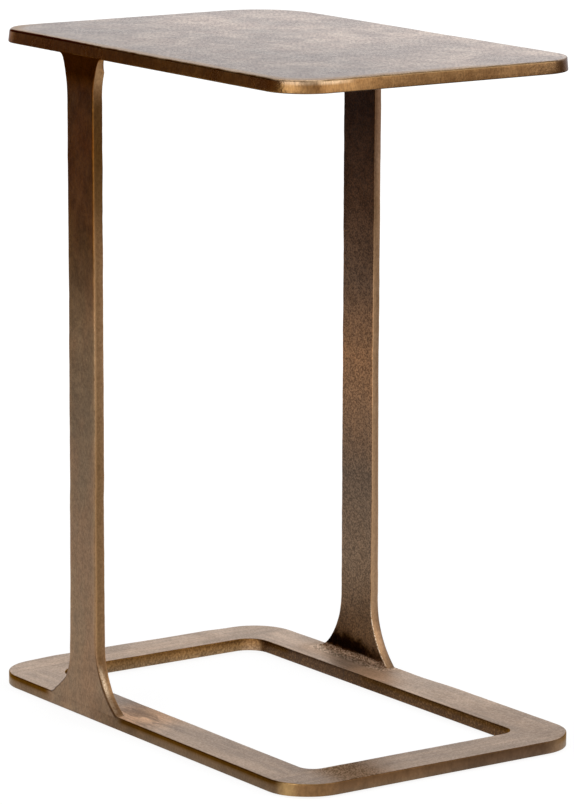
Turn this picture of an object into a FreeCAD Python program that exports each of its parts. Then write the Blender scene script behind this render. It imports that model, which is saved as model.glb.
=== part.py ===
import FreeCAD, Part
import math
import os
import Sketcher

# Accent table with a C-shaped side view, cast in metal.
# A flat top plate and a flat ring base are joined by two flared bars that stand off-centre,
# so that the top reaches over a seat while the base slides under it.
# Frame: X along the table's length, Y along its depth, Z up, origin on the floor under the middle.
# The near leg stands at low Y and the far leg at high Y, both nearer to the low X end.

DRIVING_SIZES = (
    ("overall_height", 610.0, "floor to the top's upper face"),
    ("table_depth", 310.0, "both plates, along Y"),
    ("top_length", 471.0, "top plate, along X"),
    ("top_thickness", 11.4, "top plate"),
    ("top_corner_radius", 38.0, "top plate in plan"),
    ("top_upper_softening", 2.0, "round on the top's upper rim"),
    ("top_lower_softening", 1.5, "round on the top's lower rim"),
    ("base_length", 493.0, "base ring, along X"),
    ("base_thickness", 11.4, "base ring"),
    ("base_corner_radius", 42.5, "base ring in plan, outside"),
    ("base_bar_width", 43.3, "each side of the base ring in plan"),
    ("base_inner_radius", 14.0, "corners of the ring's opening"),
    ("base_upper_softening", 3.6, "round on the base's upper outer rim"),
    ("base_lower_softening", 1.5, "round on the base's lower outer rim"),
    ("base_inner_softening", 1.2, "round on the rims of the opening"),
    ("leg_setback", 87.8, "from the table's middle back to the legs' middle"),
    ("leg_face_width", 43.6, "outer face of a leg between its flares"),
    ("leg_draft", 1.2, "how much wider the inner face is, on each side"),
    ("leg_thickness", 8.8, "outer face to inner face"),
    ("leg_outer_softening", 1.3, "round on the long edges of the outer face"),
    ("leg_inner_softening", 0.9, "round on the long edges of the inner face"),
    ("foot_flare_reach", 36.0, "how far the foot spreads on each side"),
    ("foot_flare_height", 62.0, "where the foot's flare starts, above the base"),
    ("foot_toe_radius", 16.0, "last arc of the foot's flare"),
    ("foot_let_in", 5.6, "depth of the foot's seat in the base's edge"),
    ("head_flare_reach", 13.7, "how far the head spreads on each side"),
    ("head_flare_height", 45.0, "where the head's flare starts, below the top"),
    ("head_toe_radius", 6.5, "last arc of the head's flare"),
    ("head_let_in", 5.0, "depth of the head's seat in the top's edge"),
    ("seat_clearance", 0.15, "gap round a leg's end in its seat"),
    ("foot_weld_size", 8.0, "weld fillet inside a foot, each way"),
    ("foot_weld_inset", 20.0, "from the foot's tip to the weld's end"),
    ("head_weld_size", 5.0, "weld fillet inside a head, each way"),
    ("head_weld_inset", 9.0, "from the head's tip to the weld's end"),
    ("weld_land", 0.5, "blunt rim of a weld fillet"),
    ("floor_pad_radius", 6.0, "felt disc under the base"),
    ("floor_pad_thickness", 1.5, "felt disc under the base"),
    ("cut_overrun", 2.0, "how far a cut runs past the face that it opens"),
)

# The sketch's own origin, as a pair of geometry and point numbers.
ORIGIN = (-1, 1)
# Two places count as one when they differ by less than this share of a plate's thickness.
MATCH_SHARE = 0.01
# A pocket has to take at least this share of the volume that its plan and depth give.
LEAST_CUT_SHARE = 0.8

doc = FreeCAD.newDocument("accent_table")
sheet = doc.addObject("Spreadsheet::Sheet", "sizes")
for row, (alias, value, note) in enumerate(DRIVING_SIZES, start=1):
    sheet.set("A%d" % row, alias)
    sheet.set("B%d" % row, str(value))
    sheet.set("C%d" % row, note)
    sheet.setAlias("B%d" % row, alias)
doc.recompute()


def size(alias):
    """The present value of a driving size."""
    return float(sheet.get(alias))


def bound(expression):
    """An expression of bare aliases, written for the sheet."""
    aliases = sorted((name for name, value, note in DRIVING_SIZES), key=len, reverse=True)
    for number, alias in enumerate(aliases):
        expression = expression.replace(alias, "<%d>" % number)
    for number, alias in enumerate(aliases):
        expression = expression.replace("<%d>" % number, "sizes." + alias)
    return expression


def worked_out(expression):
    """The present value of an expression of bare aliases."""
    return float(sheet.evalExpression(bound(expression)))


def plane(body, role):
    """One of the body's own origin planes."""
    for feature in body.Origin.OriginFeatures:
        if feature.Role == role:
            return feature
    raise ValueError("no plane " + role)


def new_body(name):
    """A body whose label is its node's name."""
    body = doc.addObject("PartDesign::Body", name)
    body.Label = name
    return body


def new_sketch(body, name, role, offset=None):
    """A sketch on an origin plane, or moved along its normal by an expression."""
    sketch = body.newObject("Sketcher::SketchObject", name)
    sketch.AttachmentSupport = [(plane(body, role), "")]
    sketch.MapMode = "FlatFace"
    if offset:
        sketch.setExpression(".AttachmentOffset.Base.z", bound(offset))
    return sketch


def dimension(sketch, kind, parts, name, expression):
    """A dimension that follows the sheet."""
    value = worked_out(expression)
    index = sketch.addConstraint(Sketcher.Constraint(kind, *parts, value))
    sketch.renameConstraint(index, name)
    sketch.setExpression("Constraints." + name, bound(expression))


def check_solved(sketch):
    """Stop if a sketch is open to move or over-defined."""
    if sketch.solve() != 0:
        raise ValueError("sketch not solved: " + sketch.Name)
    if not sketch.FullyConstrained:
        raise ValueError("sketch not fully defined: " + sketch.Name)


def add_rounded_rectangle(sketch, tag, length, depth, radius):
    """A rectangle centred on the origin, with an arc at each corner."""
    half_x = worked_out(length) / 2
    half_y = worked_out(depth) / 2
    arc = worked_out(radius)
    turns = ((1, -1), (1, 1), (-1, 1), (-1, -1))
    centres = [FreeCAD.Vector(sx * (half_x - arc), sy * (half_y - arc), 0) for sx, sy in turns]
    upward = FreeCAD.Vector(0, 0, 1)
    arcs = []
    for number, centre in enumerate(centres):
        start = (number - 1) * math.pi / 2
        circle = Part.Circle(centre, upward, arc)
        arcs.append(sketch.addGeometry(Part.ArcOfCircle(circle, start, start + math.pi / 2)))
    lines = []
    for number in range(len(arcs)):
        ahead = sketch.Geometry[arcs[(number + 1) % len(arcs)]]
        here = sketch.Geometry[arcs[number]]
        lines.append(sketch.addGeometry(Part.LineSegment(here.EndPoint, ahead.StartPoint)))
    for number, line in enumerate(lines):
        after = arcs[(number + 1) % len(arcs)]
        sketch.addConstraint(Sketcher.Constraint("Tangent", arcs[number], 2, line, 1))
        sketch.addConstraint(Sketcher.Constraint("Tangent", line, 2, after, 1))
        sketch.addConstraint(Sketcher.Constraint("Vertical" if number % 2 == 0 else "Horizontal", line))
    for other in arcs[1:]:
        sketch.addConstraint(Sketcher.Constraint("Equal", arcs[0], other))
    dimension(sketch, "Radius", (arcs[0],), tag + "_corner", radius)
    right, back, left, front = lines
    dimension(sketch, "DistanceX", (*ORIGIN, right, 1), tag + "_right", "(%s) / 2" % length)
    dimension(sketch, "DistanceX", (left, 1, *ORIGIN), tag + "_left", "(%s) / 2" % length)
    dimension(sketch, "DistanceY", (*ORIGIN, back, 1), tag + "_back", "(%s) / 2" % depth)
    dimension(sketch, "DistanceY", (front, 1, *ORIGIN), tag + "_front", "(%s) / 2" % depth)


def add_seat(sketch, tag, side, reach):
    """The plan of one leg end's seat, open to the plate's long edge on the given side of Y."""
    centre = -size("leg_setback")
    edge = worked_out("table_depth / 2") * side
    outer = "leg_face_width / 2 + %s + seat_clearance" % reach
    mouth = outer + " - leg_draft * cut_overrun / leg_thickness"
    inner = outer + " + leg_draft * (leg_thickness + seat_clearance) / leg_thickness"
    mouth_y = edge + side * size("cut_overrun")
    inner_y = edge - side * worked_out("leg_thickness + seat_clearance")
    corners = (
        (centre - worked_out(mouth), mouth_y),
        (centre + worked_out(mouth), mouth_y),
        (centre + worked_out(inner), inner_y),
        (centre - worked_out(inner), inner_y),
    )
    lines = []
    for number, (x, y) in enumerate(corners):
        ahead = corners[(number + 1) % len(corners)]
        segment = Part.LineSegment(FreeCAD.Vector(x, y, 0), FreeCAD.Vector(ahead[0], ahead[1], 0))
        lines.append(sketch.addGeometry(segment))
    for number, line in enumerate(lines):
        after = lines[(number + 1) % len(lines)]
        sketch.addConstraint(Sketcher.Constraint("Coincident", line, 2, after, 1))
    sketch.addConstraint(Sketcher.Constraint("Horizontal", lines[0]))
    sketch.addConstraint(Sketcher.Constraint("Horizontal", lines[2]))
    ends = (
        ("mouth_low", lines[0], 1, "leg_setback + " + mouth),
        ("mouth_high", lines[0], 2, "leg_setback - (%s)" % mouth),
        ("inner_high", lines[2], 1, "leg_setback - (%s)" % inner),
        ("inner_low", lines[2], 2, "leg_setback + " + inner),
    )
    for name, line, point, expression in ends:
        if worked_out(expression) < 0:
            dimension(sketch, "DistanceX", (*ORIGIN, line, point), tag + name, "-(%s)" % expression)
        else:
            dimension(sketch, "DistanceX", (line, point, *ORIGIN), tag + name, expression)
    rows = (
        ("mouth", lines[0], "table_depth / 2 + cut_overrun"),
        ("inner", lines[2], "table_depth / 2 - leg_thickness - seat_clearance"),
    )
    for name, line, expression in rows:
        if side > 0:
            dimension(sketch, "DistanceY", (*ORIGIN, line, 1), tag + name + "_row", expression)
        else:
            dimension(sketch, "DistanceY", (line, 1, *ORIGIN), tag + name + "_row", expression)


def pad(body, sketch, name, length, side_type="One side"):
    """Material raised from a sketch."""
    feature = body.newObject("PartDesign::Pad", name)
    feature.Profile = sketch
    feature.SideType = side_type
    feature.setExpression("Length", bound(length))
    doc.recompute()
    return feature


def pocket(body, sketch, name, depth, plan_area):
    """Material cut away under a sketch, checked against the volume that it should take."""
    before = body.Shape.Volume
    least = LEAST_CUT_SHARE * plan_area * worked_out(depth)
    feature = body.newObject("PartDesign::Pocket", name)
    feature.Profile = sketch
    feature.setExpression("Length", bound(depth))
    doc.recompute()
    if before - body.Shape.Volume < least:
        feature.Reversed = True
        doc.recompute()
    if before - body.Shape.Volume < least:
        raise ValueError("pocket cuts too little: " + name)
    return feature


def edge_names(shape, wanted):
    """Names of the edges whose bounding box passes a test."""
    return ["Edge%d" % (number + 1) for number, edge in enumerate(shape.Edges) if wanted(edge.BoundBox)]


def soften(body, name, radius, wanted):
    """Round the edges that pass a test."""
    base = body.Tip
    names = edge_names(base.Shape, wanted)
    if not names:
        raise ValueError("no edges to round: " + name)
    feature = body.newObject("PartDesign::Fillet", name)
    feature.Base = (base, names)
    feature.setExpression("Radius", bound(radius))
    doc.recompute()
    return feature


def tolerance():
    """The least difference between two places."""
    return MATCH_SHARE * size("base_thickness")


def near(value, target):
    """True if two places agree."""
    return abs(value - target) < tolerance()


def seats_area(reach):
    """Plan area of both seats of a plate."""
    width = worked_out("leg_face_width + 2 * %s + leg_draft" % reach)
    return 2 * width * size("leg_thickness")


def build_table_top():
    """The top plate, with a shallow seat for each leg's head in the lower rim."""
    body = new_body("table_top")
    outline = new_sketch(body, "top_outline", "XY_Plane")
    add_rounded_rectangle(outline, "top", "top_length", "table_depth", "top_corner_radius")
    check_solved(outline)
    pad(body, outline, "top_plate", "top_thickness")
    thickness = size("top_thickness")
    soften(body, "top_upper_rim", "top_upper_softening", lambda box: near(box.ZMin, thickness))
    soften(body, "top_lower_rim", "top_lower_softening", lambda box: near(box.ZMax, 0))
    seats = new_sketch(body, "head_seats", "XY_Plane")
    add_seat(seats, "near_", -1, "head_flare_reach")
    add_seat(seats, "far_", 1, "head_flare_reach")
    check_solved(seats)
    pocket(body, seats, "head_seat_pockets", "head_let_in", seats_area("head_flare_reach"))
    body.setExpression(".Placement.Base.z", bound("overall_height - top_thickness"))
    return body


def build_base_frame():
    """The base ring, with a shallow seat for each leg's foot in the upper rim."""
    body = new_body("base_frame")
    outline = new_sketch(body, "base_outline", "XY_Plane")
    add_rounded_rectangle(outline, "base", "base_length", "table_depth", "base_corner_radius")
    opening_length = "base_length - 2 * base_bar_width"
    opening_depth = "table_depth - 2 * base_bar_width"
    add_rounded_rectangle(outline, "opening", opening_length, opening_depth, "base_inner_radius")
    check_solved(outline)
    pad(body, outline, "base_ring", "base_thickness")
    thickness = size("base_thickness")
    inner_x = worked_out(opening_length) / 2
    inner_y = worked_out(opening_depth) / 2

    def inside(box):
        reach_x = max(abs(box.XMin), abs(box.XMax))
        reach_y = max(abs(box.YMin), abs(box.YMax))
        return reach_x < inner_x + tolerance() and reach_y < inner_y + tolerance()

    def flat(box):
        return box.ZLength < tolerance()

    soften(body, "base_upper_rim", "base_upper_softening",
           lambda box: near(box.ZMin, thickness) and not inside(box))
    soften(body, "base_lower_rim", "base_lower_softening",
           lambda box: near(box.ZMax, 0) and not inside(box))
    soften(body, "base_opening_rims", "base_inner_softening",
           lambda box: flat(box) and inside(box))
    seats = new_sketch(body, "foot_seats", "XY_Plane", "base_thickness")
    add_seat(seats, "near_", -1, "foot_flare_reach")
    add_seat(seats, "far_", 1, "foot_flare_reach")
    check_solved(seats)
    pocket(body, seats, "foot_seat_pockets", "foot_let_in", seats_area("foot_flare_reach"))
    body.setExpression(".Placement.Base.z", bound("floor_pad_thickness"))
    return body


def big_arc_radius(reach, height, toe):
    """Radius of the arc between a leg's straight edge and its toe arc, tangent to both."""
    return (reach ** 2 + height ** 2 - 2 * height * toe) / (2 * (reach - toe))


def add_leg_side(sketch, side, half_width):
    """One side of a leg's outline, seen from outside the table: both flares and the straight edge."""
    upward = FreeCAD.Vector(0, 0, 1)
    half = worked_out(half_width)
    base_face = worked_out("floor_pad_thickness + base_thickness")
    top_face = worked_out("overall_height - top_thickness")
    seat_floor = worked_out("floor_pad_thickness + base_thickness - foot_let_in")
    head_end = worked_out("overall_height - top_thickness + head_let_in")

    def point(x, z):
        return FreeCAD.Vector(side * x, z, 0)

    def arc_between(centre, start, end):
        radius = (start - centre).Length
        angles = [math.atan2(spot.y - centre.y, spot.x - centre.x) for spot in (start, end)]
        sweep = (angles[1] - angles[0]) % (2 * math.pi)
        first, last = (angles[0], angles[1]) if sweep < math.pi else (angles[1], angles[0])
        arc = Part.ArcOfCircle(Part.Circle(centre, upward, radius), first, last)
        forward = sweep < math.pi
        return sketch.addGeometry(arc), (1 if forward else 2), (2 if forward else 1)

    def flare(kind, face, sense):
        reach = size(kind + "_flare_reach")
        height = size(kind + "_flare_height")
        toe = size(kind + "_toe_radius")
        big = big_arc_radius(reach, height, toe)
        toe_centre = point(half + reach, face + sense * toe)
        big_centre = point(half + big, face + sense * height)
        outward = (toe_centre - big_centre).normalize()
        joint = toe_centre + outward * toe
        tip = point(half + reach, face)
        start = point(half, face + sense * height)
        toe_arc = arc_between(toe_centre, tip, joint)
        big_arc = arc_between(big_centre, joint, start)
        return tip, start, toe_arc, big_arc

    foot_tip, foot_start, foot_toe, foot_big = flare("foot", base_face, 1)
    head_tip, head_start, head_toe, head_big = flare("head", top_face, -1)
    foot_end = sketch.addGeometry(Part.LineSegment(point(foot_tip.x * side, seat_floor), foot_tip))
    shank = sketch.addGeometry(Part.LineSegment(foot_start, head_start))
    head_line = sketch.addGeometry(Part.LineSegment(head_tip, point(head_tip.x * side, head_end)))

    def join(kind, first, first_point, second, second_point):
        sketch.addConstraint(Sketcher.Constraint(kind, first, first_point, second, second_point))

    join("Coincident", foot_end, 2, foot_toe[0], foot_toe[1])
    join("Tangent", foot_toe[0], foot_toe[2], foot_big[0], foot_big[1])
    join("Tangent", foot_big[0], foot_big[2], shank, 1)
    join("Tangent", shank, 2, head_big[0], head_big[2])
    join("Tangent", head_big[0], head_big[1], head_toe[0], head_toe[2])
    join("Coincident", head_toe[0], head_toe[1], head_line, 1)
    for line in (foot_end, shank, head_line):
        sketch.addConstraint(Sketcher.Constraint("Vertical", line))
    for toe_arc, line, end in ((foot_toe, foot_end, 2), (head_toe, head_line, 1)):
        sketch.addConstraint(Sketcher.Constraint("Vertical", toe_arc[0], 3, line, end))
    return {
        "foot_end": foot_end,
        "foot_toe": foot_toe[0],
        "shank": shank,
        "head_toe": head_toe[0],
        "head_line": head_line,
    }


def add_leg_outline(sketch, half_width):
    """The whole outline of a leg, level with one of its two faces."""
    right = add_leg_side(sketch, 1, half_width)
    left = add_leg_side(sketch, -1, half_width)
    geometry = sketch.Geometry
    bottom = sketch.addGeometry(Part.LineSegment(
        geometry[left["foot_end"]].StartPoint, geometry[right["foot_end"]].StartPoint))
    top = sketch.addGeometry(Part.LineSegment(
        geometry[left["head_line"]].EndPoint, geometry[right["head_line"]].EndPoint))
    for line, name, end in ((bottom, "foot_end", 1), (top, "head_line", 2)):
        sketch.addConstraint(Sketcher.Constraint("Coincident", line, 1, left[name], end))
        sketch.addConstraint(Sketcher.Constraint("Coincident", line, 2, right[name], end))
        sketch.addConstraint(Sketcher.Constraint("Horizontal", line))
    widths = (
        ("shank", 1, "half", half_width),
        ("foot_end", 2, "foot", half_width + " + foot_flare_reach"),
        ("head_line", 1, "head", half_width + " + head_flare_reach"),
    )
    for name, end, tag, expression in widths:
        dimension(sketch, "DistanceX", (*ORIGIN, right[name], end), tag + "_right", expression)
        dimension(sketch, "DistanceX", (left[name], end, *ORIGIN), tag + "_left", expression)
    levels = (
        ("foot_end", 1, "seat_floor", "floor_pad_thickness + base_thickness - foot_let_in"),
        ("foot_end", 2, "base_face", "floor_pad_thickness + base_thickness"),
        ("shank", 1, "foot_flare", "floor_pad_thickness + base_thickness + foot_flare_height"),
        ("shank", 2, "head_flare", "overall_height - top_thickness - head_flare_height"),
        ("head_line", 1, "top_face", "overall_height - top_thickness"),
        ("head_line", 2, "head_end", "overall_height - top_thickness + head_let_in"),
    )
    for name, end, tag, expression in levels:
        dimension(sketch, "DistanceY", (*ORIGIN, right[name], end), tag, expression)
    for name, end in (("foot_end", 2), ("shank", 1), ("shank", 2), ("head_line", 1)):
        sketch.addConstraint(Sketcher.Constraint("Horizontal", left[name], end, right[name], end))
    for name in ("foot_toe", "head_toe"):
        dimension(sketch, "Radius", (right[name],), name, name + "_radius")
        sketch.addConstraint(Sketcher.Constraint("Equal", right[name], left[name]))


def build_leg(name, side):
    """One leg: its outer face is level with the plates' long edge on the given side of Y."""
    body = new_body(name)
    outer = new_sketch(body, name + "_outer_face", "XZ_Plane")
    add_leg_outline(outer, "leg_face_width / 2")
    check_solved(outer)
    inner = new_sketch(body, name + "_inner_face", "XZ_Plane", "-leg_thickness")
    add_leg_outline(inner, "leg_face_width / 2 + leg_draft")
    check_solved(inner)
    doc.recompute()
    loft = body.newObject("PartDesign::AdditiveLoft", name + "_casting")
    loft.Profile = inner
    loft.Sections = [outer]
    loft.Ruled = True
    doc.recompute()
    base_face = worked_out("floor_pad_thickness + base_thickness")
    top_face = worked_out("overall_height - top_thickness")
    thickness = size("leg_thickness")

    def along_face(box, level):
        on_face = near(box.YMin, level) and near(box.YMax, level)
        free = base_face < box.Center.z < top_face
        return on_face and free and box.ZLength > tolerance()

    soften(body, name + "_outer_edges", "leg_outer_softening", lambda box: along_face(box, 0))
    soften(body, name + "_inner_edges", "leg_inner_softening", lambda box: along_face(box, thickness))
    body.setExpression(".Placement.Base.x", bound("-leg_setback"))
    if side < 0:
        body.setExpression(".Placement.Base.y", bound("-table_depth / 2"))
    else:
        body.Placement.Rotation = FreeCAD.Rotation(FreeCAD.Vector(0, 0, 1), 180)
        body.setExpression(".Placement.Base.y", bound("table_depth / 2"))
    return body


def add_weld_section(sketch, tag, side, level, weld, sense):
    """The section of one weld fillet, in the corner between a leg's inner face and a plate."""
    corner_y = side * worked_out("table_depth / 2 - leg_thickness")
    corner_z = worked_out(level)
    reach = worked_out(weld)
    land = size("weld_land")

    def spot(inward, rise):
        return FreeCAD.Vector(corner_y - side * inward, corner_z + sense * rise, 0)

    corner = spot(0, 0)
    leg_end = spot(0, reach)
    leg_rim = spot(land, reach)
    plate_rim = spot(reach, land)
    plate_end = spot(reach, 0)
    radius = reach - land
    centre = spot(reach, reach)
    angles = [math.atan2(rim.y - centre.y, rim.x - centre.x) for rim in (leg_rim, plate_rim)]
    sweep = (angles[1] - angles[0]) % (2 * math.pi)
    forward = sweep < math.pi
    first, last = angles if forward else reversed(angles)
    circle = Part.Circle(centre, FreeCAD.Vector(0, 0, 1), radius)
    cove = sketch.addGeometry(Part.ArcOfCircle(circle, first, last))
    cove_start, cove_end = (1, 2) if forward else (2, 1)
    leg_line = sketch.addGeometry(Part.LineSegment(corner, leg_end))
    leg_land = sketch.addGeometry(Part.LineSegment(leg_end, leg_rim))
    plate_land = sketch.addGeometry(Part.LineSegment(plate_rim, plate_end))
    plate_line = sketch.addGeometry(Part.LineSegment(plate_end, corner))
    joints = (
        (leg_line, 2, leg_land, 1),
        (leg_land, 2, cove, cove_start),
        (cove, cove_end, plate_land, 1),
        (plate_land, 2, plate_line, 1),
        (plate_line, 2, leg_line, 1),
    )
    for joint in joints:
        sketch.addConstraint(Sketcher.Constraint("Coincident", *joint))
    for line in (leg_line, plate_land):
        sketch.addConstraint(Sketcher.Constraint("Vertical", line))
    for line in (leg_land, plate_line):
        sketch.addConstraint(Sketcher.Constraint("Horizontal", line))
    sketch.addConstraint(Sketcher.Constraint("Vertical", cove, 3, plate_line, 1))
    sketch.addConstraint(Sketcher.Constraint("Horizontal", cove, 3, leg_line, 2))
    dimension(sketch, "DistanceY", (*ORIGIN, leg_line, 1), tag + "_level", level)
    corner_place = "table_depth / 2 - leg_thickness"
    if side > 0:
        dimension(sketch, "DistanceX", (*ORIGIN, leg_line, 1), tag + "_place", corner_place)
        dimension(sketch, "DistanceX", (plate_line, 1, leg_line, 1), tag + "_reach", weld)
    else:
        dimension(sketch, "DistanceX", (leg_line, 1, *ORIGIN), tag + "_place", corner_place)
        dimension(sketch, "DistanceX", (leg_line, 1, plate_line, 1), tag + "_reach", weld)
    if sense > 0:
        dimension(sketch, "DistanceY", (leg_line, 1, leg_line, 2), tag + "_rise", weld)
    else:
        dimension(sketch, "DistanceY", (leg_line, 2, leg_line, 1), tag + "_rise", weld)
    dimension(sketch, "Radius", (cove,), tag + "_cove", weld + " - weld_land")


def build_welds(kind, level, sense):
    """The weld fillets inside both feet or both heads."""
    body = new_body(kind + "_welds")
    body.AllowCompound = True
    section = new_sketch(body, kind + "_weld_sections", "YZ_Plane")
    for tag, side in (("near", -1), ("far", 1)):
        add_weld_section(section, tag, side, level, kind + "_weld_size", sense)
    check_solved(section)
    half_width = "leg_face_width / 2 + leg_draft + %s_flare_reach - %s_weld_inset" % (kind, kind)
    pad(body, section, kind + "_weld_fillets", "2 * (%s)" % half_width, "Symmetric")
    body.setExpression(".Placement.Base.x", bound("-leg_setback"))
    return body


def build_floor_pads():
    """Four felt discs under the corners of the base, on the middle lines of its bars."""
    body = new_body("floor_pads")
    body.AllowCompound = True
    plan = new_sketch(body, "floor_pad_plan", "XY_Plane")
    place_x = "base_length / 2 - base_bar_width / 2"
    place_y = "table_depth / 2 - base_bar_width / 2"
    upward = FreeCAD.Vector(0, 0, 1)
    circles = []
    for side_x in (-1, 1):
        for side_y in (-1, 1):
            tag = "disc_%d" % len(circles)
            centre = FreeCAD.Vector(side_x * worked_out(place_x), side_y * worked_out(place_y), 0)
            disc = plan.addGeometry(Part.Circle(centre, upward, size("floor_pad_radius")))
            along = (*ORIGIN, disc, 3) if side_x > 0 else (disc, 3, *ORIGIN)
            across = (*ORIGIN, disc, 3) if side_y > 0 else (disc, 3, *ORIGIN)
            dimension(plan, "DistanceX", along, tag + "_x", place_x)
            dimension(plan, "DistanceY", across, tag + "_y", place_y)
            circles.append(disc)
    for disc in circles[1:]:
        plan.addConstraint(Sketcher.Constraint("Equal", circles[0], disc))
    dimension(plan, "Radius", (circles[0],), "disc_radius", "floor_pad_radius")
    check_solved(plan)
    pad(body, plan, "floor_pad_discs", "floor_pad_thickness")
    return body


def check_document():
    """Stop if any object of the document failed."""
    for item in doc.Objects:
        if "Invalid" in item.State or "Error" in item.State:
            raise ValueError("failed object: " + item.Name)


def write_nodes(bodies, counts):
    """Write each body as one node, after checking its shape."""
    os.makedirs("parts", exist_ok=True)
    for body in bodies:
        shape = body.Shape
        if shape.isNull() or not shape.isValid():
            raise ValueError("bad shape: " + body.Label)
        if len(shape.Solids) != counts.get(body.Label, 1):
            raise ValueError("wrong number of solids: " + body.Label)
        print(body.Label, len(shape.Solids), round(shape.Volume), shape.BoundBox)
    for body in bodies:
        body.Shape.exportStep("parts/%s.step" % body.Label)


nodes = [
    build_table_top(),
    build_base_frame(),
    build_leg("front_leg", -1),
    build_leg("rear_leg", 1),
    build_welds("foot", "floor_pad_thickness + base_thickness", 1),
    build_welds("head", "overall_height - top_thickness", -1),
    build_floor_pads(),
]
doc.recompute()
check_document()
write_nodes(nodes, {"foot_welds": 2, "head_welds": 2, "floor_pads": 4})
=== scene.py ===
"""Looks of the cast metal accent table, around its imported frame. Lengths are in metres."""
from math import atan2, cos, pi, radians, sin

import bmesh
import bpy
from mathutils import Matrix, Vector, noise


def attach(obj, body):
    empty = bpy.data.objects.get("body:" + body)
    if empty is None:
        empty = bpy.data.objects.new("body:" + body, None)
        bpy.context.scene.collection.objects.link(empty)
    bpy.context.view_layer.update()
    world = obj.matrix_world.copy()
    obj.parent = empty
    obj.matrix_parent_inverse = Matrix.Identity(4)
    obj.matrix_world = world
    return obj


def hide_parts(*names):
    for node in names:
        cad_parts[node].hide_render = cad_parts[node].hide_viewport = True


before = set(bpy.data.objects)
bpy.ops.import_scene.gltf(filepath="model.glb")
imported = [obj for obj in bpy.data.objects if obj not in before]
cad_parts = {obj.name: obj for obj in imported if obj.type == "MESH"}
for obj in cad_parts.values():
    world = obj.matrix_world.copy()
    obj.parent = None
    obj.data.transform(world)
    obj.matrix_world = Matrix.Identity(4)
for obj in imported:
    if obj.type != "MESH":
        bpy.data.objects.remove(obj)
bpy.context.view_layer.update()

# camera, fitted to the photograph's edges

LENS = 201.865
SENSOR = 36
CAMERA_PLACE = (3.23897, -2.26048, 1.07733)
CAMERA_YAW = 2.53106
CAMERA_PITCH = 0.197492
CAMERA_ROLL = 0.005137
CAMERA_REACH = 100

# studio: turns about the upright axis, and colours

BACKDROP_TURN = radians(145)
OPEN_SIDE_TURN = radians(35)
WHITE = (1, 1, 1)
WARM_DARK = (0.07, 0.026, 0.005)
SIDE_GLOW = (0.4, 0.33, 0.26)
CEILING = (0.62, 0.6, 0.58)
SOFT_GREY = (0.78, 0.78, 0.78)
FLOOR_GLOW = (0.9, 0.9, 0.9)
FLOOR_GREY = (0.55, 0.55, 0.55)
SEEN_GREY = (0.14, 0.14, 0.14)
SEEN_PAPER = (0.875, 0.875, 0.875)


def feed(node, inputs):
    """Links a node's inputs to fields, or writes constants on them."""
    for key, value in inputs.items():
        socket = node.inputs[key]
        if isinstance(value, Field):
            socket.id_data.links.new(value.socket, socket)
        else:
            socket.default_value = (*value, 1) if socket.type == "RGBA" else value


def add(tree, kind, inputs=None, **settings):
    """A new node with its settings and inputs."""
    node = tree.nodes.new(kind)
    for key, value in settings.items():
        setattr(node, key, value)
    feed(node, inputs or {})
    return node


def joining(operation, swapped=False):
    """A method of fields that works one out with a number or another field."""
    def method(self, other=0):
        first, second = (other, self) if swapped else (self, other)
        return self.new("ShaderNodeMath", 0, {0: first, 1: second}, operation=operation)

    return method


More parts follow.
